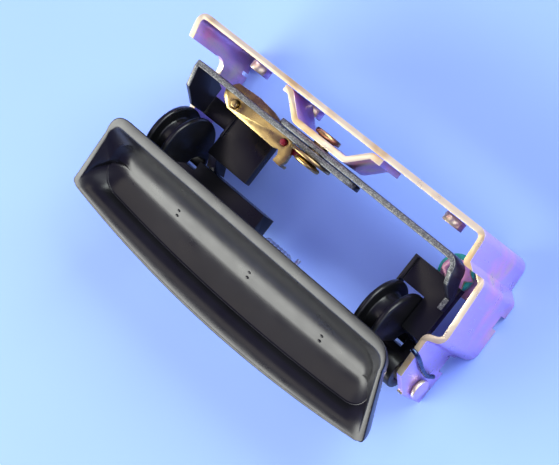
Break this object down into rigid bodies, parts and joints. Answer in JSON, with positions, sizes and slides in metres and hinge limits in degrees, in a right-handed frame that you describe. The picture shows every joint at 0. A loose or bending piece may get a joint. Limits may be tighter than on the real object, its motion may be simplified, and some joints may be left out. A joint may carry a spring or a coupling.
{
  "type": "car door handle",
  "caption": "Flap-type car door handle: black trough-shaped paddle on goosenecks, hinged in a plated steel bracket, lifting crossed levers on a central rivet.",
  "frame": {"origin": "middle of the bracket's flat mounting face", "axes": "+X along the handle towards the lock-lever end, +Y into the door (out of the mounting face), +Z towards the open side of the finger hollow, which faces down on the car"},
  "size_m": [0.1503, 0.083, 0.044],
  "materials": {
    "zinc_steel": "yellow iridescent zinc plating",
    "black_plastic": "fine-grained satin moulded plastic",
    "black_steel": "black coated pressed steel with bare edges",
    "bright_steel": "bright drawn steel",
    "red_plastic": "red nylon",
    "green_plastic": "green nylon"
  },
  "bodies": {
    "frame": {"mounting_bracket": "zinc_steel", "threaded_collar_left": "zinc_steel", "threaded_collar_middle": "zinc_steel", "threaded_collar_right": "zinc_steel", "pivot_bridge": "zinc_steel", "hinge_pin": "zinc_steel", "pin_washer_left": "bright_steel", "spring_sleeve": "black_plastic", "return_spring": "bright_steel", "outer_spring": "bright_steel", "pivot_rivet": "zinc_steel", "pivot_washer": "zinc_steel", "lock_shelf": "zinc_steel", "lock_pin": "bright_steel"},
    "paddle": {"paddle_shell": "black_plastic", "gooseneck_left": "black_plastic", "gooseneck_right": "black_plastic", "lever_foot_left": "black_plastic", "lever_foot_right": "black_plastic", "hinge_barrel_left": "black_plastic", "hinge_barrel_right": "black_plastic"},
    "left_lever": {"left_lever": "black_steel", "release_rivet": "bright_steel"},
    "right_lever": {"right_lever": "black_steel"},
    "release_lever": {"release_lever": "zinc_steel"},
    "rod_clip": {"rod_clip": "red_plastic"},
    "lock_lever": {"lock_bush": "green_plastic", "lock_lever": "zinc_steel"}
  },
  "joints": [
    {"name": "paddle_hinge", "type": "hinge", "parent": "frame", "child": "paddle", "pos_m": [0, -0.054, -0.019], "axis": [1, 0, 0], "range_deg": [0, 28], "stiffness_Nm_per_rad": 0.6, "springref_deg": -17.19},
    {"name": "left_lever_pivot", "type": "hinge", "parent": "frame", "child": "left_lever", "pos_m": [0, -0.0153, 0.00625], "axis": [0, 1, 0], "range_deg": [0, 18]},
    {"name": "right_lever_pivot", "type": "hinge", "parent": "frame", "child": "right_lever", "pos_m": [0, -0.013, 0.00625], "axis": [0, 1, 0], "range_deg": [-14, 0]},
    {"name": "release_lever_pivot", "type": "hinge", "parent": "left_lever", "child": "release_lever", "pos_m": [-0.04, -0.0188, 0.0005], "axis": [0, 0, 1], "range_deg": [-10, 0]},
    {"name": "rod_clip_swivel", "type": "hinge", "parent": "release_lever", "child": "rod_clip", "pos_m": [-0.0152, -0.0186, 0.001], "axis": [0, 0, 1], "range_deg": [-30, 5]},
    {"name": "lock_lever_pivot", "type": "hinge", "parent": "frame", "child": "lock_lever", "pos_m": [0.0577, -0.0168, -0.012], "axis": [0, 0, 1], "range_deg": [-20, 20]}
  ],
  "couplings": [
    {"joint": "left_lever_pivot", "follows": "paddle_hinge", "ratio": 0.62},
    {"joint": "right_lever_pivot", "follows": "paddle_hinge", "ratio": -0.5}
  ]
}
